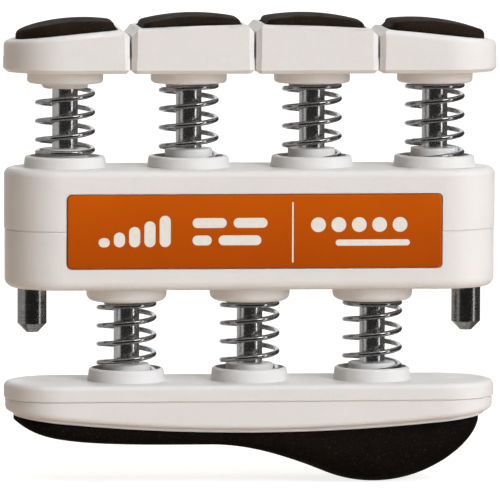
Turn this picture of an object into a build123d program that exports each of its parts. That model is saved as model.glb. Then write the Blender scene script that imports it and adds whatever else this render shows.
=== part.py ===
"""Finger exerciser: four sprung finger keys above a housing and a sprung palm bar below it.

Frame: origin on the ground under the middle of the housing, +X along the row of fingers, +Y to the back,
+Z from the palm to the fingertips. Units are millimetres.
"""

import os

from build123d import *

os.makedirs("parts", exist_ok=True)

# ---- driving dimensions ------------------------------------------------------------------------------
finger_pitch = 20.0
finger_travel = 8.0
palm_travel = 8.0
body_depth = 18.0
end_radius = body_depth / 2

# places along the row
finger_places = [(index - 1.5) * finger_pitch for index in range(4)]
palm_places = [(index - 1) * finger_pitch for index in range(3)]
stop_pin_places = {"left": -35.3, "right": 35.3}
end_sides = {0: -1, 3: 1}

# heights of the palm bar's faces
platform_z = 8.5
cover_z = 9.0
palm_split_z = 13.65
palm_top_z = 16.35
palm_collar_z = 18.4
palm_boss_z = 19.1

# heights of the housing's faces
lower_boss_z = 28.6
lower_seat_z = 29.3
housing_bottom_z = 31.6
lower_guide_z = 36.0
housing_split_z = 41.1
upper_guide_z = 47.2
housing_top_z = 51.0
upper_collar_z = 52.8
upper_boss_z = 54.0

# heights of the keys' faces
key_boss_z = upper_boss_z + finger_travel + 1.75
key_seat_z = 64.55
key_bottom_z = 66.45
key_split_z = 68.85
key_crown_z = 74.27
crown_radius = 280.0

# lengths along the row, and how far each piece stands back from its neighbour at a split
housing_length = 79.7
housing_step = 0.1
palm_length = 79.7
palm_step = 0.2
key_row_length = 80.0
key_step = 0.08
key_gap = 0.2

# walls, edges and fits
wall = 1.6
floor = 1.8
lip_height = 1.2
lip_thickness = 0.8
lip_gap = 0.1
split_bevel = 0.15
housing_top_fillet = 1.2
housing_bottom_fillet = 1.5
palm_top_fillet = 0.9
palm_bottom_fillet = 1.0
running_gap = 0.05
end_play = 0.05
face_gap = 0.02

# spring seats: collars stand on a face, and flanges hang under one
upper_collar_radius = 6.7
upper_groove_radius = 5.6
palm_collar_radius = 6.3
palm_groove_radius = 5.55
collar_taper = 0.25
collar_fillet = 0.45
collar_boss_radius = 3.85
collar_boss_fillet = 0.25
lower_flange_radius = 6.5
lower_flange_fillet = 1.2
key_flange_radius = 6.15
key_flange_fillet = 0.6
seat_boss_radius = 3.75
seat_boss_chamfer = 0.3

# springs
spring_radius = 4.5
wire_radius = 0.425
spring_turns = 4.5
spring_gap = 0.06

# rods, heads, clips and guides
rod_radius = 2.1
rod_tip = 0.3
rod_overhang = 0.95
head_radius = 3.5
head_height = 1.5
head_gap = 0.15
clip_radius = 3.4
clip_height = 0.6
clip_opening = 2.4
groove_radius = 1.7
guide_radius = 3.3

# stop pins, and the dimples that they meet at the end of the palm bar's travel
pin_radius = 2.375
pin_top_z = 36.0
pin_chamfer = 1.4
pin_boss_wall = 1.0
pin_stop_gap = 0.45
dimple_radius = 3.1
dimple_depth = 0.5
pin_tip_z = palm_top_z - dimple_depth + palm_travel + pin_stop_gap

# label plates
label_length = 60.4
label_height = 11.85
label_z = 41.15
label_recess = 0.7
label_stand = 0.1
label_gap = 0.15
label_corner = 0.8
label_fillet = 0.25

# keys and finger pads
key_corner = 0.85
key_top_chamfer = 1.1
key_top_fillet = 0.4
key_end_fillet = 0.9
key_bottom_chamfer = 0.6
pad_inset = 1.5
pad_side_inset = 1.75
pad_end_inset = 2.0
pad_corner = 2.0
# heights of a pad above the crown, at its ends and in its middle
inner_pad_heights = (0.85, 1.7)
end_pad_heights = (1.25, 2.2)

# palm pad: a flat heel, then a round bulge under the third and fourth fingers
platform_radius = 310.0
platform_inset = 1.35
palm_pad_left = -38.3
palm_pad_right = 37.4
heel_end_z = 10.2
heel_z = 6.4
heel_left = -14.4
heel_right = -6.5
heel_end_pull = (3.5, -2.6)
heel_flat_pull = 16.5
bulge_left = 12.0
bulge_pull = 6.4
bulge_x = 20.0
bulge_radius = 21.0

height_tolerance = 0.01
on_base = (Align.CENTER, Align.CENTER, Align.MIN)


# ---- helpers -------------------------------------------------------------------------------------------
def save(part, name):
    """Label a finished piece and write it under its own name."""
    part.label = name
    export_step(part, f"parts/{name}.step")


def at_height(shapes, height):
    """Those of the faces or edges that lie flat at one height."""
    return shapes.filter_by_position(Axis.Z, height - height_tolerance, height + height_tolerance)


def rim_at(part, height):
    """Outer edges of the largest flat face at one height."""
    return at_height(part.faces(), height).sort_by(SortBy.AREA)[-1].outer_wire().edges()


def raised_collar(radius, groove, height, boss_height):
    """Ring and inner boss, up from height 0, that hold a spring's end in the groove between them."""
    with BuildPart() as collar:
        Cone(radius, radius - collar_taper, height, align=on_base)
        fillet(at_height(collar.edges(), height), collar_fillet)
        Cylinder(groove, height, align=on_base, mode=Mode.SUBTRACT)
        Cylinder(collar_boss_radius, boss_height, align=on_base)
        fillet(at_height(collar.edges(), boss_height), collar_boss_fillet)
    return collar.part


def hanging_seat(radius, edge, seat_depth, boss_depth):
    """Round flange and boss, down from height 0, that a spring's upper end bears against."""
    with BuildPart() as seat:
        with Locations((0, 0, -seat_depth)):
            Cylinder(radius, seat_depth, align=on_base)
        fillet(at_height(seat.edges(), -seat_depth), edge)
        with Locations((0, 0, -boss_depth)):
            Cylinder(seat_boss_radius, boss_depth, align=on_base)
        chamfer(at_height(seat.edges(), -boss_depth), seat_boss_chamfer)
    return seat.part


def make_rod(x, low, high, head_z, clip_z):
    """Polished rod with a head at one end and a groove for its retaining clip near the other."""
    with BuildPart() as rod:
        with Locations((x, 0, low)):
            Cylinder(rod_radius, high - low, align=on_base)
        chamfer(rod.edges().filter_by(GeomType.CIRCLE), rod_tip)
        with Locations((x, 0, head_z)):
            Cylinder(head_radius, head_height, align=on_base)
        with BuildSketch(Plane.XY.offset(clip_z)):
            with Locations((x, 0)):
                Circle(rod_radius + rod_tip)
                Circle(groove_radius, mode=Mode.SUBTRACT)
        extrude(amount=clip_height, mode=Mode.SUBTRACT)
    return rod.part


def make_clip(x, low):
    """Open retaining ring that snaps into a rod's groove."""
    with BuildPart() as clip:
        with BuildSketch(Plane.XY.offset(low)):
            with Locations((x, 0)):
                Circle(clip_radius)
                Circle(groove_radius, mode=Mode.SUBTRACT)
            with Locations((x, -clip_radius)):
                Rectangle(clip_opening, 2 * clip_radius, mode=Mode.SUBTRACT)
        extrude(amount=clip_height)
    return clip.part


def make_spring(x, low, high):
    """Right-handed compression spring between two seats."""
    bottom = low + wire_radius + spring_gap
    rise = high - low - 2 * (wire_radius + spring_gap)
    with BuildPart() as spring:
        with BuildLine():
            coil = Helix(pitch=rise / spring_turns, height=rise, radius=spring_radius, center=(x, 0, bottom))
        with BuildSketch(Plane(origin=coil @ 0, z_dir=coil % 0)):
            Circle(wire_radius)
        sweep(is_frenet=True)
    return spring.part


def label_block(facing, margin, thickness):
    """Round-cornered plate on the floor of the housing's front (-1) or back (+1) recess."""
    recess_floor = Plane(
        origin=(0, facing * (end_radius - label_recess), label_z), x_dir=(1, 0, 0), z_dir=(0, facing, 0)
    )
    with BuildPart() as block:
        with BuildSketch(recess_floor):
            RectangleRounded(label_length + 2 * margin, label_height + 2 * margin, label_corner)
        extrude(amount=thickness)
    return block.part


# ---- housing -------------------------------------------------------------------------------------------
ceiling_z = housing_top_z - floor
upper_collar = raised_collar(
    upper_collar_radius, upper_groove_radius, upper_collar_z - housing_top_z, upper_boss_z - housing_top_z
)

with BuildPart() as upper_shell:
    with BuildSketch(Plane.XY.offset(housing_split_z)):
        SlotOverall(housing_length, body_depth)
    extrude(amount=housing_top_z - housing_split_z)
    fillet(rim_at(upper_shell, housing_top_z), housing_top_fillet)
    chamfer(rim_at(upper_shell, housing_split_z), split_bevel)
    with BuildSketch(Plane.XY.offset(housing_split_z)):
        SlotOverall(housing_length - 2 * wall, body_depth - 2 * wall)
    extrude(amount=ceiling_z - housing_split_z, mode=Mode.SUBTRACT)
    with Locations(*[(x, 0, housing_top_z) for x in finger_places]):
        add(upper_collar)
    with Locations(*[(x, 0, upper_guide_z) for x in finger_places]):
        Cylinder(guide_radius, ceiling_z - upper_guide_z, align=on_base)
        Cylinder(rod_radius + running_gap, upper_boss_z - upper_guide_z, align=on_base, mode=Mode.SUBTRACT)
    for facing in (-1, 1):
        add(label_block(facing, label_gap, end_radius), mode=Mode.SUBTRACT)
save(upper_shell.part, "housing_upper_shell")

floor_z = housing_bottom_z + floor
lip_inset = wall + lip_gap
lower_seat = hanging_seat(
    lower_flange_radius, lower_flange_fillet, housing_bottom_z - lower_seat_z, housing_bottom_z - lower_boss_z
)

with BuildPart() as lower_shell:
    with BuildSketch(Plane.XY.offset(housing_bottom_z)):
        SlotOverall(housing_length - 2 * housing_step, body_depth - 2 * housing_step)
    extrude(amount=housing_split_z - housing_bottom_z)
    fillet(rim_at(lower_shell, housing_bottom_z), housing_bottom_fillet)
    chamfer(rim_at(lower_shell, housing_split_z), split_bevel)
    with BuildSketch(Plane.XY.offset(housing_split_z)):
        SlotOverall(housing_length - 2 * lip_inset, body_depth - 2 * lip_inset)
    extrude(amount=lip_height)
    with BuildSketch(Plane.XY.offset(floor_z)):
        SlotOverall(
            housing_length - 2 * (lip_inset + lip_thickness), body_depth - 2 * (lip_inset + lip_thickness)
        )
    extrude(amount=housing_split_z + lip_height - floor_z, mode=Mode.SUBTRACT)
    with Locations(*[(x, 0, housing_bottom_z) for x in palm_places]):
        add(lower_seat)
    with Locations(*[(x, 0, floor_z) for x in palm_places]):
        Cylinder(guide_radius, lower_guide_z - floor_z, align=on_base)
    with Locations(*[(x, 0, lower_boss_z) for x in palm_places]):
        Cylinder(rod_radius + running_gap, lower_guide_z - lower_boss_z, align=on_base, mode=Mode.SUBTRACT)
    with Locations(*[(x, 0, floor_z) for x in stop_pin_places.values()]):
        Cylinder(pin_radius + pin_boss_wall, pin_top_z - floor_z, align=on_base)
    with Locations(*[(x, 0, housing_bottom_z) for x in stop_pin_places.values()]):
        Cylinder(pin_radius, pin_top_z - housing_bottom_z, align=on_base, mode=Mode.SUBTRACT)
    for facing in (-1, 1):
        add(label_block(facing, label_gap, end_radius), mode=Mode.SUBTRACT)
save(lower_shell.part, "housing_lower_shell")

for facing, side in ((-1, "front"), (1, "rear")):
    with BuildPart() as label_plate:
        add(label_block(facing, 0, label_recess + label_stand))
        fillet(label_plate.faces().sort_by(Axis.Y, reverse=facing < 0)[-1].edges(), label_fillet)
    save(label_plate.part, f"{side}_label_plate")

for side, x in stop_pin_places.items():
    with BuildPart() as stop_pin:
        with Locations((x, 0, pin_tip_z)):
            Cylinder(pin_radius, pin_top_z - pin_tip_z, align=on_base)
        chamfer(at_height(stop_pin.edges(), pin_tip_z), pin_chamfer)
    save(stop_pin.part, f"stop_pin_{side}")


# ---- finger keys ---------------------------------------------------------------------------------------
def key_plan(index, inset, side_inset, end_inset, corner_tool, corner):
    """Plan of one key or pad: cornered towards its neighbours, half round at the ends of the row."""
    with BuildSketch(mode=Mode.PRIVATE) as plan:
        with Locations((finger_places[index], 0)):
            Rectangle(finger_pitch - key_gap - 2 * side_inset, body_depth - 2 * inset)
        corner_tool(plan.vertices(), corner)
        if index in end_sides:
            side = end_sides[index]
            end_centre = side * (key_row_length / 2 - end_inset - end_radius + inset)
            with Locations((end_centre + side * finger_pitch / 2, 0)):
                Rectangle(finger_pitch, body_depth, mode=Mode.SUBTRACT)
            with Locations((end_centre, 0)):
                Circle(end_radius - inset)
    return plan.sketch


def crown_at(x):
    """Height of the keys' common crown at one place along the row."""
    return key_crown_z - crown_radius + (crown_radius**2 - x**2) ** 0.5


def arc_along(left, right, height_at):
    """Arc from left to right along the row through the heights that height_at gives."""
    return ThreePointArc(*[(x, height_at(x)) for x in (left, (left + right) / 2, right)])


key_seat = hanging_seat(
    key_flange_radius, key_flange_fillet, key_bottom_z - key_seat_z, key_bottom_z - key_boss_z
)

for index, x in enumerate(finger_places):
    number = index + 1

    with BuildPart() as key_base:
        with BuildSketch(Plane.XY.offset(key_bottom_z)):
            add(key_plan(index, 0, 0, 0, chamfer, key_corner))
        extrude(amount=key_split_z - key_bottom_z)
        chamfer(rim_at(key_base, key_bottom_z), key_bottom_chamfer)
        with Locations((x, 0, key_bottom_z)):
            add(key_seat)
        with Locations((x, 0, key_boss_z)):
            Cylinder(rod_radius, key_split_z - key_boss_z, align=on_base, mode=Mode.SUBTRACT)
    save(key_base.part, f"key_base_{number}")

    with BuildPart() as key_cap:
        with BuildSketch(Plane.XY.offset(key_split_z)):
            add(key_plan(index, key_step, key_step, key_step, chamfer, key_corner))
        extrude(amount=key_crown_z - key_split_z)
        with BuildSketch(Plane.XZ):
            with Locations((0, key_crown_z - crown_radius)):
                Circle(crown_radius)
        extrude(amount=body_depth, both=True, mode=Mode.INTERSECT)
        crown = key_cap.faces().filter_by(GeomType.CYLINDER).sort_by(SortBy.AREA)
        chamfer(crown[-1].edges().filter_by(Axis.Y), key_top_chamfer)
        crown = key_cap.faces().filter_by(GeomType.CYLINDER).sort_by(SortBy.AREA)
        top_edges = crown[-1].edges()
        fillet(
            top_edges - top_edges.filter_by(Axis.Y), key_end_fillet if index in end_sides else key_top_fillet
        )
        with Locations((x, 0, key_split_z)):
            Cylinder(head_radius + head_gap, head_height + head_gap, align=on_base, mode=Mode.SUBTRACT)
    save(key_cap.part, f"key_cap_{number}")

    pad_plan = key_plan(index, pad_inset, pad_side_inset, pad_end_inset, fillet, pad_corner)
    pad_left = pad_plan.bounding_box().min.X
    pad_right = pad_plan.bounding_box().max.X
    pad_middle = (pad_left + pad_right) / 2
    edge_height, middle_height = end_pad_heights if index in end_sides else inner_pad_heights

    def dome_at(place):
        """Height of this finger's domed pad at one place along the row."""
        across = (place - pad_middle) / (pad_right - pad_middle)
        return crown_at(place) + middle_height - (middle_height - edge_height) * across**2

    with BuildPart() as finger_pad:
        with BuildSketch(Plane.XZ):
            with BuildLine():
                dome = arc_along(pad_left, pad_right, dome_at)
                seat = arc_along(pad_left, pad_right, lambda place: crown_at(place) + face_gap)
                Line(dome @ 0, seat @ 0)
                Line(dome @ 1, seat @ 1)
            make_face()
        extrude(amount=end_radius, both=True)
        with BuildSketch(Plane.XY.offset(key_split_z)):
            add(pad_plan)
        extrude(amount=end_radius, mode=Mode.INTERSECT)
    save(finger_pad.part, f"finger_pad_{number}")

    clip_z = upper_guide_z - end_play - clip_height
    save(make_rod(x, clip_z - rod_overhang, key_split_z, key_split_z, clip_z), f"finger_rod_{number}")
    save(make_clip(x, clip_z), f"finger_rod_clip_{number}")
    save(make_spring(x, housing_top_z, key_seat_z), f"finger_spring_{number}")


# ---- palm bar ------------------------------------------------------------------------------------------
def arched_slab(inset, low):
    """Stadium slab under the palm bar's split, with its underside arched lengthwise."""
    with BuildPart() as slab:
        with BuildSketch(Plane.XY.offset(low)):
            SlotOverall(palm_length - 2 * inset, body_depth - 2 * inset)
        extrude(amount=palm_split_z - low)
        with BuildSketch(Plane.XZ):
            with Locations((0, low + platform_radius)):
                Circle(platform_radius)
        extrude(amount=body_depth, both=True, mode=Mode.INTERSECT)
    return slab.part


def platform_at(x):
    """Height of the palm bar's arched platform at one place along its length."""
    return platform_z + platform_radius - (platform_radius**2 - x**2) ** 0.5


def bulge_at(x):
    """Height of the palm pad's round bulge at one place along its length."""
    return bulge_radius - (bulge_radius**2 - (x - bulge_x) ** 2) ** 0.5


palm_collar = raised_collar(
    palm_collar_radius, palm_groove_radius, palm_collar_z - palm_top_z, palm_boss_z - palm_top_z
)
dimple_ball = (dimple_radius**2 + dimple_depth**2) / (2 * dimple_depth)

with BuildPart() as palm_plate:
    with BuildSketch(Plane.XY.offset(palm_split_z)):
        SlotOverall(palm_length, body_depth)
    extrude(amount=palm_top_z - palm_split_z)
    fillet(rim_at(palm_plate, palm_top_z), palm_top_fillet)
    chamfer(rim_at(palm_plate, palm_split_z), split_bevel)
    with Locations(*[(x, 0, palm_top_z) for x in palm_places]):
        add(palm_collar)
    with Locations(*[(x, 0, palm_split_z) for x in palm_places]):
        Cylinder(rod_radius, palm_boss_z - palm_split_z, align=on_base, mode=Mode.SUBTRACT)
    with Locations(*[(x, 0, palm_top_z - dimple_depth + dimple_ball) for x in stop_pin_places.values()]):
        Sphere(dimple_ball, mode=Mode.SUBTRACT)
save(palm_plate.part, "palm_bar_top_plate")

with BuildPart() as palm_cover:
    add(arched_slab(palm_step, cover_z))
    fillet(palm_cover.faces().sort_by(Axis.Z)[0].edges(), palm_bottom_fillet)
    chamfer(rim_at(palm_cover, palm_split_z), split_bevel)
    add(arched_slab(palm_step + platform_inset, platform_z))
    with Locations(*[(x, 0, palm_split_z) for x in palm_places]):
        Cylinder(head_radius + head_gap, 2 * (head_height + head_gap), mode=Mode.SUBTRACT)
save(palm_cover.part, "palm_bar_cover")

palm_pad_depth = body_depth - 2 * (palm_step + platform_inset)
with BuildPart() as palm_pad:
    with BuildSketch(Plane.XZ):
        with BuildLine():
            seat = arc_along(palm_pad_left, palm_pad_right, lambda place: platform_at(place) - face_gap)
            heel_end = Bezier(
                (palm_pad_left, heel_end_z),
                (palm_pad_left + heel_end_pull[0], heel_end_z + heel_end_pull[1]),
                (heel_left - heel_flat_pull, heel_z),
                (heel_left, heel_z),
            )
            heel = Line(heel_end @ 1, (heel_right, heel_z))
            bulge = ThreePointArc(
                (bulge_left, bulge_at(bulge_left)), (bulge_x, 0), (palm_pad_right, bulge_at(palm_pad_right))
            )
            Bezier(heel @ 1, heel @ 1 + bulge_pull * (heel % 1), bulge @ 0 - bulge_pull * (bulge % 0), bulge @ 0)
            Line(seat @ 0, heel_end @ 0)
            Line(seat @ 1, bulge @ 1)
        make_face()
    extrude(amount=palm_pad_depth / 2, both=True)
    with BuildSketch():
        with Locations(((palm_pad_left + palm_pad_right) / 2, 0)):
            SlotOverall(palm_pad_right - palm_pad_left, palm_pad_depth)
    extrude(amount=palm_split_z, mode=Mode.INTERSECT)
save(palm_pad.part, "palm_pad")

for index, x in enumerate(palm_places):
    number = index + 1
    clip_z = lower_guide_z + end_play
    rod_end_z = clip_z + clip_height + rod_overhang
    save(make_rod(x, palm_split_z, rod_end_z, palm_split_z - head_height, clip_z), f"palm_rod_{number}")
    save(make_clip(x, clip_z), f"palm_rod_clip_{number}")
    save(make_spring(x, palm_top_z, lower_seat_z), f"palm_spring_{number}")
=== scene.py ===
import math

import bmesh
import bpy
from mathutils import Matrix, Vector
from mathutils.bvhtree import BVHTree


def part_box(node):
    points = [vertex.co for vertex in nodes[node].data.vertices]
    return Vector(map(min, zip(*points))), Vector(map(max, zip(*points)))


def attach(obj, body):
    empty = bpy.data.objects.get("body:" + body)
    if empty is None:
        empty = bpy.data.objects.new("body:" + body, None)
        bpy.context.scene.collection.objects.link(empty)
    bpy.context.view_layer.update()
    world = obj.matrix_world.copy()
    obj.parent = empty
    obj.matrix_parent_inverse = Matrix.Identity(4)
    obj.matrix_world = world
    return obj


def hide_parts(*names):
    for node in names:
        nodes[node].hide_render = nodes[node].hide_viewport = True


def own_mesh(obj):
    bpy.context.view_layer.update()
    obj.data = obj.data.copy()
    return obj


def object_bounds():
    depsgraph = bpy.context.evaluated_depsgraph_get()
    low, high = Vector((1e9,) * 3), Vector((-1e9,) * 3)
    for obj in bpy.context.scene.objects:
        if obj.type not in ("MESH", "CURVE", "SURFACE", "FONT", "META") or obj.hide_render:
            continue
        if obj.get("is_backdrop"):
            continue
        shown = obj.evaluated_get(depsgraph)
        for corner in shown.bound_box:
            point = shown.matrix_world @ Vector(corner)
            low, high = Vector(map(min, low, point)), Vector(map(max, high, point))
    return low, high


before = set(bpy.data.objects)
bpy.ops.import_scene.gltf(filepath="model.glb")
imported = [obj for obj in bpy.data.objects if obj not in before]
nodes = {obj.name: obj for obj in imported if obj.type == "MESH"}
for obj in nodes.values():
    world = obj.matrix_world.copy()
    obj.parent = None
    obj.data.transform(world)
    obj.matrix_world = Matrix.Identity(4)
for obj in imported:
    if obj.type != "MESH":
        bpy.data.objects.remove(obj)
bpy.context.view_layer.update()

mm = 0.001
fingers = (1, 2, 3, 4)
palm_rods = (1, 2, 3)

# camera: angles in degrees and a long lens. It stands at its distance from the target and looks at the aim.
camera_azimuth = -5.515
camera_elevation = 4.987
camera_distance = 1070.5 * mm
camera_target = Vector((0, 0, 39.69 * mm))
camera_aim = Vector((0.05 * mm, 0, 37.36 * mm))
camera_roll = 0.22
camera_lens = 476.1
sensor_width = 36.0

# floor: how it looks to the camera, and the colour of the light that it throws back at the object
floor_size = 12.0
floor_seen = (0.50, 0.49, 0.48, 1)
floor_glow = (1.0, 0.98, 0.96, 1)
floor_glow_strength = 0.84
floor_bounce = (0.84, 0.69, 0.57, 1)

# softbox at the upper front right
softbox_place = Vector((0.75, -0.95, 0.95))
softbox_size = 0.55
softbox_power = 4.2
softbox_tint = (1.0, 0.985, 0.965)

# Soft light and reflections come from two rooms round the object. Each has grey levels by bearing, where 0
# and 1 are behind the object, 0.25 is at its left, 0.5 at its front and 0.75 at its right.
fill_levels = (
    (0.0, 0.25), (0.06, 0.60), (0.10, 0.60), (0.14, 0.0), (0.55, 0.0), (0.575, 4.9),
    (0.640, 5.0), (0.668, 0.22), (0.79, 0.22), (0.85, 0.25), (1.0, 0.25),
)
wall_levels = (
    (0.0, 1.1), (0.05, 1.1), (0.09, 0.40), (0.20, 0.50), (0.325, 0.56), (0.345, 0.03), (0.655, 0.03),
    (0.662, 2.4), (0.678, 2.4), (0.685, 0.07), (0.92, 0.10), (0.96, 1.1), (1.0, 1.1),
)
# tints of the soft light's levels up to 1 and above it
dim_tint = (1.0, 0.97, 0.93)
bright_tint = (0.945, 0.985, 1.055)
# ceilings and the reflected floor, each between the heights where it starts and where it is full
overhead_fill = (0.79, 0.765, 0.74, 1)
overhead_fill_band = (0.50, 0.90)
overhead_room = (1.0, 0.98, 0.96, 1)
overhead_room_band = (0.52, 0.90)
floor_room = (0.24, 0.22, 0.20, 1)
floor_room_band = (-0.40, -0.80)

# springs
wire_radius = 0.425 * mm
wire_sides = 14
turn_steps = 40
finger_pitch = 3.03 * mm
palm_pitch = 2.97 * mm
# turns of wire that lie on the lower seat, and how gradually the wire bends off its seats
closed_turns_low = 0.7
seat_softness = 0.16 * mm
# one spring's lower end sits up beside its collar's boss instead of on the groove's floor
raised_end = {"finger_spring_1": 1.95 * mm}
# height at which each coil passes its left side, somewhere near the middle of the spring
finger_coil_left = {1: 58.40 * mm, 2: 57.30 * mm, 3: 57.50 * mm, 4: 57.90 * mm}
palm_coil_left = {1: 22.25 * mm, 2: 22.55 * mm, 3: 23.10 * mm}
# turns from that left side to the wire's upper end: 2.5 is at the right and 1.75 at the back
turns_above = 2.5
fewer_turns = {"finger_spring_1": 0.75}

# pads
outline_steps = 160
pad_corner = 2.0 * mm
pad_edge_round = 0.6 * mm
pad_least_side = 0.1 * mm
# how far a finger pad's face falls from its middle to its front and rear
pad_crown = 0.25 * mm
# size of a finger pad's face against its foot, for the lean of its sides
pad_lean = 0.965
# which end of a pad stays upright: -1 left, 1 right
upright_ends = {1: -1.0, 4: 1.0}
# the palm pad's side wall as a share of its thickness, and the rounding below it, smaller near its ends
palm_side_share = 0.42
palm_side_least = 0.8 * mm
palm_edge_round = 4.5 * mm
palm_edge_share = 0.75
palm_end_length = 7.0 * mm
palm_end_share = 0.3
# full half rounds are drawn this much smaller, so that a short straight stretch is left between them
round_end_gap = 0.01 * mm

# printed marks on the label plates
ink_height = 0.03 * mm
ink_sink = 0.02 * mm
corner_steps = 6


# ---- node materials ------------------------------------------------------------------------------------
class Finish:
    """A procedural material: a Principled shader and the nodes that feed it."""

    def __init__(self, name, **values):
        self.material = bpy.data.materials.new(name)
        self.material.use_nodes = True
        self.tree = self.material.node_tree
        self.shader = self.tree.nodes["Principled BSDF"]
        for socket, value in values.items():
            self.shader.inputs[socket.replace("_", " ")].default_value = value
        self.place = self.node("ShaderNodeTexCoord").outputs["Object"]

    def node(self, kind, settings=None, **sockets):
        """A new node, with its sockets given values or linked to other nodes' outputs."""
        made = self.tree.nodes.new(kind)
        for name, value in (settings or {}).items():
            setattr(made, name, value)
        for name, value in sockets.items():
            self.feed(made.inputs[name.replace("_", " ")], value)
        return made

    def feed(self, socket, value):
        if isinstance(value, bpy.types.NodeSocket):
            self.tree.links.new(value, socket)
        else:
            socket.default_value = value

    def stretched(self, along):
        """The place with each axis scaled. Grain is drawn out along an axis that is scaled down."""
        return self.node("ShaderNodeMapping", Vector=self.place, Scale=along).outputs["Vector"]

    def noise(self, scale, detail=3.0, roughness=0.55, place=None):
        sockets = {"Vector": place or self.place, "Scale": scale, "Detail": detail, "Roughness": roughness}
        return self.node("ShaderNodeTexNoise", **sockets).outputs["Fac"]

    def span(self, value, low, high, new_low, new_high):
        """The value, mapped from one range to another and held inside it."""
        ends = {"From_Min": low, "From_Max": high, "To_Min": new_low, "To_Max": new_high}
        return self.node("ShaderNodeMapRange", Value=value, **ends).outputs["Result"]

    def mix(self, factor, first, second):
        made = self.node("ShaderNodeMix", {"data_type": "RGBA"})
        self.feed(made.inputs[0], factor)
        self.feed(made.inputs[6], first)
        self.feed(made.inputs[7], second)
        return made.outputs[2]

    def bump(self, height, strength, distance, before=None):
        made = self.node("ShaderNodeBump", Height=height, Strength=strength, Distance=distance)
        if before:
            self.feed(made.inputs["Normal"], before)
        return made.outputs["Normal"]

    def finish(self, colour, roughness, normal):
        self.feed(self.shader.inputs["Base Color"], colour)
        self.feed(self.shader.inputs["Roughness"], roughness)
        self.feed(self.shader.inputs["Normal"], normal)
        return self.material


def linear(red, green, blue):
    """Linear colour of an sRGB colour given from 0 to 255."""
    parts = []
    for part in (red, green, blue):
        part = part / 255
        parts.append(part / 12.92 if part <= 0.04045 else ((part + 0.055) / 1.055) ** 2.4)
    return (*parts, 1.0)


def white_plastic():
    """Moulded ABS: fine grain, faint clouding and a little grime in its pores."""
    f = Finish("white_plastic", Subsurface_Weight=0.12, Subsurface_Scale=1.2 * mm, IOR=1.5)
    f.shader.inputs["Subsurface Radius"].default_value = (1.0, 0.62, 0.42)
    clouds = f.noise(55, 4)
    colour = f.mix(f.span(clouds, 0.3, 0.7, 0, 1), linear(232, 231, 229), linear(236, 235, 233))
    pores = f.noise(2600, 2)
    colour = f.mix(f.span(pores, 0.58, 0.80, 0, 0.22), colour, linear(214, 206, 196))
    wear = f.noise(240, 5, 0.7)
    roughness = f.span(wear, 0.3, 0.7, 0.34, 0.52)
    grain = f.bump(f.noise(1500, 3), 0.30, 0.05 * mm)
    return f.finish(colour, roughness, f.bump(clouds, 0.2, 0.25 * mm, grain))


def label_plate():
    """Satin orange plate with painted shade: darker towards its foot and lighter towards its top, standing
    in for light from above.
    """
    low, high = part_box("front_label_plate")
    f = Finish("label_plate", Specular_IOR_Level=0.06, IOR=1.48)
    height = f.node("ShaderNodeSeparateXYZ", Vector=f.place).outputs["Z"]
    # painted shade: the colour darkens with height from the plate's top down to its foot, in place of light
    # falling from above
    painted_shade_fade = f.span(height, low.z, high.z, 0, 1)
    colour = f.mix(painted_shade_fade, linear(178, 75, 0), linear(200, 89, 0))
    mottle = f.noise(90, 4)
    colour = f.mix(f.span(mottle, 0.35, 0.7, 0, 0.2), colour, linear(166, 64, 0))
    speck = f.noise(3000, 2)
    colour = f.mix(f.span(speck, 0.62, 0.75, 0, 0.2), colour, linear(206, 96, 10))
    roughness = f.span(f.noise(420, 4), 0.3, 0.7, 0.42, 0.56)
    return f.finish(colour, roughness, f.bump(f.noise(1400, 2), 0.18, 0.03 * mm))


def label_ink():
    """Screen-printed off-white ink with slightly uneven cover."""
    f = Finish("label_ink", IOR=1.45)
    cover = f.noise(1200, 3)
    colour = f.mix(f.span(cover, 0.35, 0.75, 0, 0.5), linear(240, 238, 230), linear(228, 220, 204))
    roughness = f.span(f.noise(700, 3), 0.3, 0.7, 0.45, 0.62)
    return f.finish(colour, roughness, f.bump(f.noise(2200, 2), 0.2, 0.02 * mm))


def pad_rubber(name, dark, pale, dust_share):
    """Soft brown-black rubber with a fine pebbled skin and pale dust in it."""
    f = Finish(name, Specular_IOR_Level=0.07, IOR=1.5)
    clouds = f.noise(120, 5, 0.6)
    colour = f.mix(f.span(clouds, 0.3, 0.7, 0, 1), dark, pale)
    dust = f.noise(3200, 2, 0.6)
    colour = f.mix(f.span(dust, 0.58, 0.74, 0, dust_share), colour, linear(78, 62, 52))
    roughness = f.span(f.noise(500, 4), 0.3, 0.7, 0.62, 0.86)
    pebbles = f.node("ShaderNodeTexVoronoi", Vector=f.place, Scale=2300).outputs["Distance"]
    skin = f.bump(pebbles, 0.30, 0.06 * mm)
    return f.finish(colour, roughness, f.bump(f.noise(900, 4), 0.35, 0.08 * mm, skin))


def rod_steel():
    """Ground steel, with fine scratches along the rod and dark flecks where the finish has worn."""
    f = Finish("rod_steel", Metallic=1.0)
    streaks = f.noise(5200, 3, 0.6, f.stretched((1, 1, 0.04)))
    colour = f.mix(f.span(streaks, 0.3, 0.7, 0, 1), linear(196, 195, 194), linear(222, 221, 219))
    flecks = f.noise(4200, 3, 0.65, f.stretched((1, 1, 0.7)))
    colour = f.mix(f.span(flecks, 0.56, 0.70, 0, 0.5), colour, linear(110, 108, 106))
    roughness = f.span(flecks, 0.4, 0.7, 0.13, 0.34)
    return f.finish(colour, roughness, f.bump(streaks, 0.12, 0.02 * mm))


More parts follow.
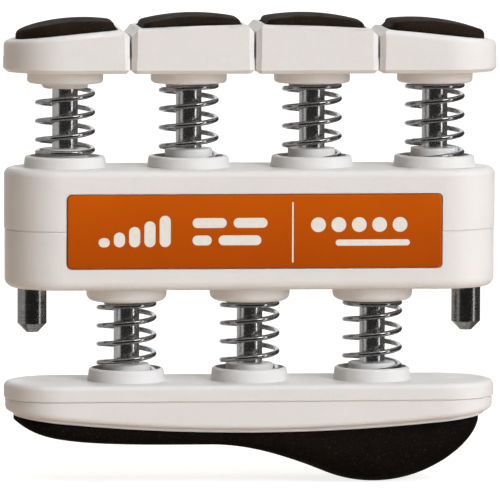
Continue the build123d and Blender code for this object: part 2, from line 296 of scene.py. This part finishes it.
def pin_steel():
    """Darker turned steel with rings left by the tool."""
    f = Finish("pin_steel", Metallic=1.0)
    rings = f.noise(4200, 3, 0.6, f.stretched((0.05, 0.05, 1)))
    colour = f.mix(f.span(rings, 0.3, 0.7, 0, 1), linear(138, 136, 134), linear(170, 168, 166))
    flecks = f.noise(3800, 3, 0.65)
    colour = f.mix(f.span(flecks, 0.56, 0.70, 0, 0.5), colour, linear(84, 82, 80))
    roughness = f.span(flecks, 0.4, 0.7, 0.16, 0.36)
    return f.finish(colour, roughness, f.bump(rings, 0.15, 0.02 * mm))


def spring_steel():
    """Drawn spring wire: smooth, with small darker scale marks."""
    f = Finish("spring_steel", Metallic=1.0)
    scale_marks = f.noise(3000, 3, 0.6)
    colour = f.mix(f.span(scale_marks, 0.35, 0.7, 0, 1), linear(178, 179, 181), linear(138, 139, 141))
    roughness = f.span(f.noise(3600, 3), 0.3, 0.7, 0.07, 0.18)
    return f.finish(colour, roughness, f.bump(f.noise(4200, 2), 0.08, 0.015 * mm))


def clip_steel():
    """Blackened spring steel."""
    f = Finish("clip_steel", Metallic=1.0)
    patches = f.noise(900, 4, 0.6)
    colour = f.mix(f.span(patches, 0.35, 0.7, 0, 1), linear(74, 70, 68), linear(110, 106, 102))
    roughness = f.span(f.noise(2600, 3), 0.3, 0.7, 0.32, 0.5)
    return f.finish(colour, roughness, f.bump(patches, 0.2, 0.03 * mm))


finishes = {
    "white_plastic": white_plastic(),
    "label_plate": label_plate(),
    "pad_rubber": pad_rubber("pad_rubber", linear(32, 24, 17), linear(44, 34, 26), 0.45),
    "rod_steel": rod_steel(),
    "pin_steel": pin_steel(),
    "spring_steel": spring_steel(),
    "clip_steel": clip_steel(),
}
ink = label_ink()
palm_rubber = pad_rubber("palm_rubber", linear(12, 8, 6), linear(22, 16, 12), 0.35)


def slot_of(name):
    """The record's material slot of a CAD node, from the node's name."""
    if "label" in name:
        return "label_plate"
    if "clip" in name:
        return "clip_steel"
    if "spring" in name:
        return "spring_steel"
    if "rod" in name:
        return "rod_steel"
    if "pin" in name:
        return "pin_steel"
    if "pad" in name:
        return "pad_rubber"
    return "white_plastic"


def coat(piece, material):
    piece.data.materials.clear()
    piece.data.materials.append(material)


for node_name, node_object in nodes.items():
    coat(node_object, finishes[slot_of(node_name)])


# ---- meshes --------------------------------------------------------------------------------------------
def new_piece(name, points, faces, material, smooth=True):
    """A mesh object with one material, put into the scene."""
    mesh = bpy.data.meshes.new(name)
    mesh.from_pydata(points, [], faces)
    mesh.validate()
    mesh.polygons.foreach_set("use_smooth", [smooth] * len(mesh.polygons))
    mesh.materials.append(material)
    piece = bpy.data.objects.new(name, mesh)
    bpy.context.scene.collection.objects.link(piece)
    return piece


def bridge(first, second, count):
    """Faces between two closed rings of points that start at these indices."""
    faces = []
    for i in range(count):
        after = (i + 1) % count
        faces.append((first + i, first + after, second + after, second + i))
    return faces


# ---- springs -------------------------------------------------------------------------------------------
def softly_above(value, floor):
    """The value, levelling off smoothly onto the floor."""
    gap = (value - floor) / seat_softness
    if gap > 30:
        return value
    return floor + seat_softness * math.log1p(math.exp(gap))


def coil_height(turn, left_height, pitch, low, high):
    """Height of the wire's centre after that many turns from its left side, between its seats."""
    height = softly_above(left_height + pitch * turn, low)
    return -softly_above(-height, -high)


def make_coil(name, node, pitch, left_height):
    """Round-wire compression spring with closed ends, in the space that the CAD spring holds."""
    low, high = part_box(node)
    centre_x = (low.x + high.x) / 2
    radius = (high.x - low.x) / 2 - wire_radius
    bottom = low.z + wire_radius + raised_end.get(node, 0)
    top = high.z - wire_radius
    first = (bottom - left_height) / pitch - closed_turns_low
    last = turns_above - fewer_turns.get(node, 0)
    steps = round((last - first) * turn_steps)
    upward = Vector((0, 0, 1))
    points = []
    for step in range(steps + 1):
        turn = first + (last - first) * step / steps
        angle = math.pi + math.tau * turn
        outward = Vector((math.cos(angle), math.sin(angle), 0))
        height = coil_height(turn, left_height, pitch, bottom, top)
        middle = Vector((centre_x, 0, height)) + radius * outward
        for side in range(wire_sides):
            around = math.tau * side / wire_sides
            offset = math.cos(around) * outward + math.sin(around) * upward
            points.append(middle + wire_radius * offset)
    faces = []
    for step in range(steps):
        faces += bridge((step + 1) * wire_sides, step * wire_sides, wire_sides)
    faces.append(tuple(range(wire_sides)))
    faces.append(tuple(steps * wire_sides + side for side in reversed(range(wire_sides))))
    coil = new_piece(name, points, faces, finishes["spring_steel"])
    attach(coil, "housing")
    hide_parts(node)
    return coil


for number in fingers:
    spring_node = f"finger_spring_{number}"
    coil = make_coil(f"finger_coil_{number}", spring_node, finger_pitch, finger_coil_left[number])
    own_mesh(coil)

for number in palm_rods:
    spring_node = f"palm_spring_{number}"
    coil = make_coil(f"palm_coil_{number}", spring_node, palm_pitch, palm_coil_left[number])
    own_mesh(coil)


# ---- pads ----------------------------------------------------------------------------------------------
def rounded_outline(low, high, left_radius, right_radius):
    """Closed outline, anticlockwise, of a rectangle with one corner radius at each end."""
    corners = (
        (high.x - right_radius, high.y - right_radius, right_radius, 0),
        (low.x + left_radius, high.y - left_radius, left_radius, 1),
        (low.x + left_radius, low.y + left_radius, left_radius, 2),
        (high.x - right_radius, low.y + right_radius, right_radius, 3),
    )
    outline = []
    steps = outline_steps // 8
    for x, y, radius, quarter in corners:
        for step in range(steps + 1):
            angle = math.pi / 2 * (quarter + step / steps)
            outline.append(Vector((x + radius * math.cos(angle), y + radius * math.sin(angle))))
    return evenly_spaced(outline)


def evenly_spaced(outline):
    """The same closed outline with its points at even distances."""
    lengths = [(outline[i] - outline[i - 1]).length for i in range(len(outline))]
    total = sum(lengths)
    spaced = []
    index, done = 0, 0.0
    for step in range(outline_steps):
        wanted = total * step / outline_steps
        while done + lengths[(index + 1) % len(outline)] < wanted:
            done += lengths[(index + 1) % len(outline)]
            index += 1
        start = outline[index % len(outline)]
        end = outline[(index + 1) % len(outline)]
        spaced.append(start.lerp(end, (wanted - done) / max(lengths[(index + 1) % len(outline)], 1e-9)))
    return spaced


def edge_distance(point, outline):
    """How far a point inside an outline is from it."""
    nearest = math.inf
    for i in range(len(outline)):
        start = outline[i - 1]
        along = outline[i] - start
        share = max(0.0, min(1.0, (point - start).dot(along) / max(along.length_squared, 1e-18)))
        nearest = min(nearest, (point - start - share * along).length)
    return nearest


def faces_along(node):
    """A function that gives the heights of a CAD solid's lower and upper face along its middle."""
    mesh = nodes[node].data
    corners = [vertex.co for vertex in mesh.vertices]
    tree = BVHTree.FromPolygons(corners, [polygon.vertices for polygon in mesh.polygons])
    low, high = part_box(node)
    margin = 0.05 * mm
    # the rays pass a little beside the middle, where triangles may share an edge
    off_edge = 0.01 * mm

    def heights(x):
        x = max(low.x + margin, min(high.x - margin, x))
        lower = tree.ray_cast(Vector((x, off_edge, low.z - mm)), Vector((0, 0, 1)))[0]
        upper = tree.ray_cast(Vector((x, off_edge, high.z + mm)), Vector((0, 0, -1)))[0]
        return lower.z, upper.z

    return heights


# rings of a pad's face as shares of its outline: close together near the edge, then on to the middle
edge_rings = 14
ring_shares = [1 - 0.5 * (step / edge_rings) ** 2 for step in range(edge_rings + 1)]
ring_shares += [0.42, 0.33, 0.24, 0.16, 0.08, 0.02]


def make_skin(name, node, outline, seat_height, crown_height, lean=1.0, upright=0.0):
    """Closed pad: a foot whose edge follows its seat, a side wall, and a face whose height crown_height
    gives at each place and distance from the edge. The face is the foot made smaller by the share lean,
    about the end that stays upright, -1 for left and 1 for right, or about its middle, 0."""
    low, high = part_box(node)
    middle = Vector(((low.x + high.x) / 2, 0))
    spine = max(0.0, (high.x - low.x) / 2 - (high.y - low.y) / 2)
    points = [(point.x, point.y, seat_height(point.x)) for point in outline]
    count = len(outline)
    fixed = Vector((middle.x + upright * (high.x - low.x) / 2, 0))
    rim = [fixed.lerp(point, lean) for point in outline]
    for share in ring_shares:
        for point in rim:
            hub = Vector((max(middle.x - spine, min(middle.x + spine, point.x)), 0))
            at = hub.lerp(point, share)
            points.append((at.x, at.y, crown_height(at, edge_distance(at, rim))))
    faces = []
    for ring in range(len(ring_shares)):
        faces += bridge(ring * count, (ring + 1) * count, count)
    last = len(ring_shares) * count
    faces.append(tuple(last + i for i in range(count)))
    faces.append(tuple(reversed(range(count))))
    skin = new_piece(name, points, faces, finishes["pad_rubber"])
    tidy_mesh(skin)
    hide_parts(node)
    return skin


def tidy_mesh(piece):
    """Merge doubled points, split the large end faces into triangles and turn every normal outwards."""
    shape = bmesh.new()
    shape.from_mesh(piece.data)
    bmesh.ops.remove_doubles(shape, verts=shape.verts, dist=0.002 * mm)
    bmesh.ops.triangulate(shape, faces=[f for f in shape.faces if len(f.verts) > 4])
    bmesh.ops.recalc_face_normals(shape, faces=shape.faces)
    shape.to_mesh(piece.data)
    shape.free()


def round_over(distance, radius):
    """0 at the edge, rising as a quarter circle to 1 at that radius from it."""
    share = max(0.0, min(1.0, distance / radius))
    return math.sqrt(1 - (1 - share) ** 2)


for number in fingers:
    pad_node = f"finger_pad_{number}"
    low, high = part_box(pad_node)
    half_depth = (high.y - low.y) / 2
    left_round = half_depth - round_end_gap if number == fingers[0] else pad_corner
    right_round = half_depth - round_end_gap if number == fingers[-1] else pad_corner
    outline = rounded_outline(low, high, left_round, right_round)
    heights = faces_along(pad_node)

    def seat_height(x):
        return heights(x)[0]

    def crown_height(at, distance):
        seat, crown = heights(at.x)
        crown -= pad_crown * (at.y / half_depth) ** 2
        side = max(crown - pad_edge_round, seat + pad_least_side)
        return side + (crown - side) * round_over(distance, pad_edge_round)

    skin_name = f"finger_pad_skin_{number}"
    upright = upright_ends.get(number, 0.0)
    pad = make_skin(skin_name, pad_node, outline, seat_height, crown_height, pad_lean, upright)
    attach(pad, f"finger_{number}")

palm_low, palm_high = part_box("palm_pad")
palm_end_round = (palm_high.y - palm_low.y) / 2 - round_end_gap
palm_outline = rounded_outline(palm_low, palm_high, palm_end_round, palm_end_round)
palm_heights = faces_along("palm_pad")


def palm_seat(x):
    return palm_heights(x)[1]


def palm_face(at, distance):
    lower, upper = palm_heights(at.x)
    thickness = upper - lower
    side = min(thickness, max(palm_side_share * thickness, palm_side_least))
    from_end = max(0.0, min(at.x - palm_low.x, palm_high.x - at.x))
    fullness = palm_end_share + (1 - palm_end_share) * min(1.0, from_end / palm_end_length)
    edge = min(palm_edge_round, palm_edge_share * thickness) * fullness
    return upper - side - (thickness - side) * round_over(distance, edge)


palm_skin = make_skin("palm_pad_skin", "palm_pad", palm_outline, palm_seat, palm_face)
coat(palm_skin, palm_rubber)
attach(palm_skin, "palm_bar")


# ---- printed marks -------------------------------------------------------------------------------------
def round_bar(left, right, low, high):
    """Outline, in millimetres on the plate, of a bar with half-round ends along its longer side."""
    radius = min(right - left, high - low) / 2
    near, far = left + radius, right - radius
    foot, head = low + radius, high - radius
    outline = []
    for quarter, (x, z) in enumerate(((far, head), (near, head), (near, foot), (far, foot))):
        for step in range(corner_steps + 1):
            angle = math.pi / 2 * (quarter + step / corner_steps)
            outline.append((x + radius * math.cos(angle), z + radius * math.sin(angle)))
    return outline


def print_marks(name, plate, facing, outlines):
    """Thin raised ink in those outlines on the front (-1) or rear (+1) label plate."""
    low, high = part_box(plate)
    face = low.y if facing < 0 else high.y
    points, faces = [], []
    for outline in outlines:
        start = len(points)
        count = len(outline)
        for depth in (-ink_sink, ink_height):
            points += [(-facing * x * mm, face + facing * depth, z * mm) for x, z in outline]
        faces += bridge(start, start + count, count)
        faces.append(tuple(start + count + i for i in range(count)))
        faces.append(tuple(start + i for i in reversed(range(count))))
    marks = new_piece(name, points, faces, ink, smooth=False)
    tidy_mesh(marks)
    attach(marks, "housing")


# all in millimetres from the middle of the row and from the floor
bar_pitch = 2.45
bar_rise = 0.89
dot_pitch = 3.3
tension_bars = []
dots = []
for step in range(5):
    bar_left = -25.2 + bar_pitch * step
    tension_bars.append(round_bar(bar_left, bar_left + 1.8, 38.7, 40.2 + bar_rise * step))
    dot_left = 9.0 + dot_pitch * step
    dots.append(round_bar(dot_left, dot_left + 2.4, 41.0, 43.4))
dots.append(round_bar(13.0, 25.0, 38.8, 39.8))
dashes = [round_bar(left, right, 41.75, 43.35) for left, right in ((-10.1, -4.6), (-3.5, 2.0))]
dashes += [round_bar(left, right, 38.95, 40.55) for left, right in ((-10.1, -7.0), (-5.9, 1.0))]
divider = [round_bar(5.95, 6.2, 36.1, 45.9)]

for side, facing in (("front", -1), ("rear", 1)):
    plate = f"{side}_label_plate"
    print_marks(f"{side}_tension_bars", plate, facing, tension_bars)
    print_marks(f"{side}_dashes", plate, facing, dashes)
    print_marks(f"{side}_divider", plate, facing, divider)
    print_marks(f"{side}_dots", plate, facing, dots)


# ---- studio --------------------------------------------------------------------------------------------
def make_floor():
    """Pale floor, white to look at, warm in the light that it throws back, and left out of reflections."""
    half = floor_size / 2
    corners = [(-half, -half, 0), (half, -half, 0), (half, half, 0), (-half, half, 0)]
    material = bpy.data.materials.new("floor_paper")
    material.use_nodes = True
    tree = material.node_tree
    paper = tree.nodes["Principled BSDF"]
    paper.inputs["Base Color"].default_value = floor_seen
    paper.inputs["Roughness"].default_value = 0.9
    paper.inputs["Specular IOR Level"].default_value = 0.0
    paper.inputs["Emission Color"].default_value = floor_glow
    paper.inputs["Emission Strength"].default_value = floor_glow_strength
    bounce = tree.nodes.new("ShaderNodeBsdfDiffuse")
    bounce.inputs["Color"].default_value = floor_bounce
    path = tree.nodes.new("ShaderNodeLightPath")
    either = tree.nodes.new("ShaderNodeMixShader")
    tree.links.new(path.outputs["Is Camera Ray"], either.inputs[0])
    tree.links.new(bounce.outputs[0], either.inputs[1])
    tree.links.new(paper.outputs[0], either.inputs[2])
    tree.links.new(either.outputs[0], tree.nodes["Material Output"].inputs["Surface"])
    paper_sheet = new_piece("floor", corners, [(0, 1, 2, 3)], material, smooth=False)
    paper_sheet.visible_glossy = False
    paper_sheet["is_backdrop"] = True


def make_world():
    """White to look at, directional as soft light, and a dark room with pale walls in reflections."""
    world = bpy.data.worlds.new("studio")
    bpy.context.scene.world = world
    world.use_nodes = True
    world.cycles.sampling_method = "NONE"
    tree = world.node_tree
    tree.nodes.clear()

    def node(kind, **sockets):
        made = tree.nodes.new(kind)
        for name, value in sockets.items():
            key = int(name[1:]) if name[1:].isdigit() else name
            socket = made.inputs[key]
            if isinstance(value, bpy.types.NodeSocket):
                tree.links.new(value, socket)
            else:
                socket.default_value = value
        return made

    def maths(operation, first, second):
        made = node("ShaderNodeMath", _0=first, _1=second)
        made.operation = operation
        return made.outputs[0]

    def by_height(ends, below, above):
        """One colour up to the first height and another from the second height on."""
        share = node("ShaderNodeMapRange", Value=parts["Z"])
        share.inputs["From Min"].default_value = ends[0]
        share.inputs["From Max"].default_value = ends[1]
        return mixed(share.outputs[0], below, above)

    def round_the_room(stops, dim=(1, 1, 1), bright=(1, 1, 1)):
        """Colour by bearing from those stops, with its dim and its bright levels tinted."""
        walls = node("ShaderNodeValToRGB", Fac=bearing)
        ramp = walls.color_ramp.elements
        while len(ramp) < len(stops):
            ramp.new(0.5)
        for element, (position, level) in zip(ramp, stops):
            element.position = position
            tint = bright if level > 1 else dim
            element.color = (level * tint[0], level * tint[1], level * tint[2], 1)
        return walls.outputs[0]

    def mixed(share, first, second):
        return node("ShaderNodeMixRGB", Fac=share, Color1=first, Color2=second).outputs[0]

    way = node("ShaderNodeTexCoord").outputs["Generated"]
    parts = node("ShaderNodeSeparateXYZ", Vector=way).outputs
    turn = maths("ARCTAN2", parts["X"], maths("MULTIPLY", parts["Y"], -1.0))
    bearing = maths("ADD", maths("DIVIDE", turn, math.tau), 0.5)

    fill = round_the_room(fill_levels, dim_tint, bright_tint)
    fill = by_height(overhead_fill_band, fill, overhead_fill)
    room = round_the_room(wall_levels)
    room = by_height(overhead_room_band, room, overhead_room)
    room = by_height(floor_room_band, room, floor_room)
    seen = node("ShaderNodeLightPath").outputs
    light = mixed(seen["Is Glossy Ray"], fill, room)
    shown = mixed(seen["Is Camera Ray"], light, (1, 1, 1, 1))
    back = node("ShaderNodeBackground", Color=shown, Strength=1.0)
    output = node("ShaderNodeOutputWorld")
    tree.links.new(back.outputs[0], output.inputs["Surface"])


def make_softbox():
    lamp = bpy.data.lights.new("softbox", "AREA")
    lamp.size = softbox_size
    lamp.energy = softbox_power
    lamp.color = softbox_tint
    softbox = bpy.data.objects.new("softbox", lamp)
    bpy.context.scene.collection.objects.link(softbox)
    softbox.location = softbox_place
    softbox.rotation_euler = (camera_target - softbox_place).to_track_quat("-Z", "Y").to_euler()


def make_camera():
    azimuth = math.radians(camera_azimuth)
    elevation = math.radians(camera_elevation)
    back = Vector(
        (
            math.sin(azimuth) * math.cos(elevation),
            -math.cos(azimuth) * math.cos(elevation),
            math.sin(elevation),
        )
    )
    lens = bpy.data.cameras.new("camera")
    lens.lens = camera_lens
    lens.sensor_width = sensor_width
    lens.clip_start = 0.05
    lens.clip_end = 50.0
    camera = bpy.data.objects.new("camera", lens)
    bpy.context.scene.collection.objects.link(camera)
    place = camera_target + camera_distance * back
    turn = (camera_aim - place).to_track_quat("-Z", "Y").to_matrix().to_4x4()
    roll = Matrix.Rotation(math.radians(camera_roll), 4, "Z")
    camera.matrix_world = Matrix.Translation(place) @ turn @ roll
    bpy.context.scene.camera = camera


make_floor()
make_world()
make_softbox()
make_camera()
bpy.context.scene.view_settings.view_transform = "Standard"

low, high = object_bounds()
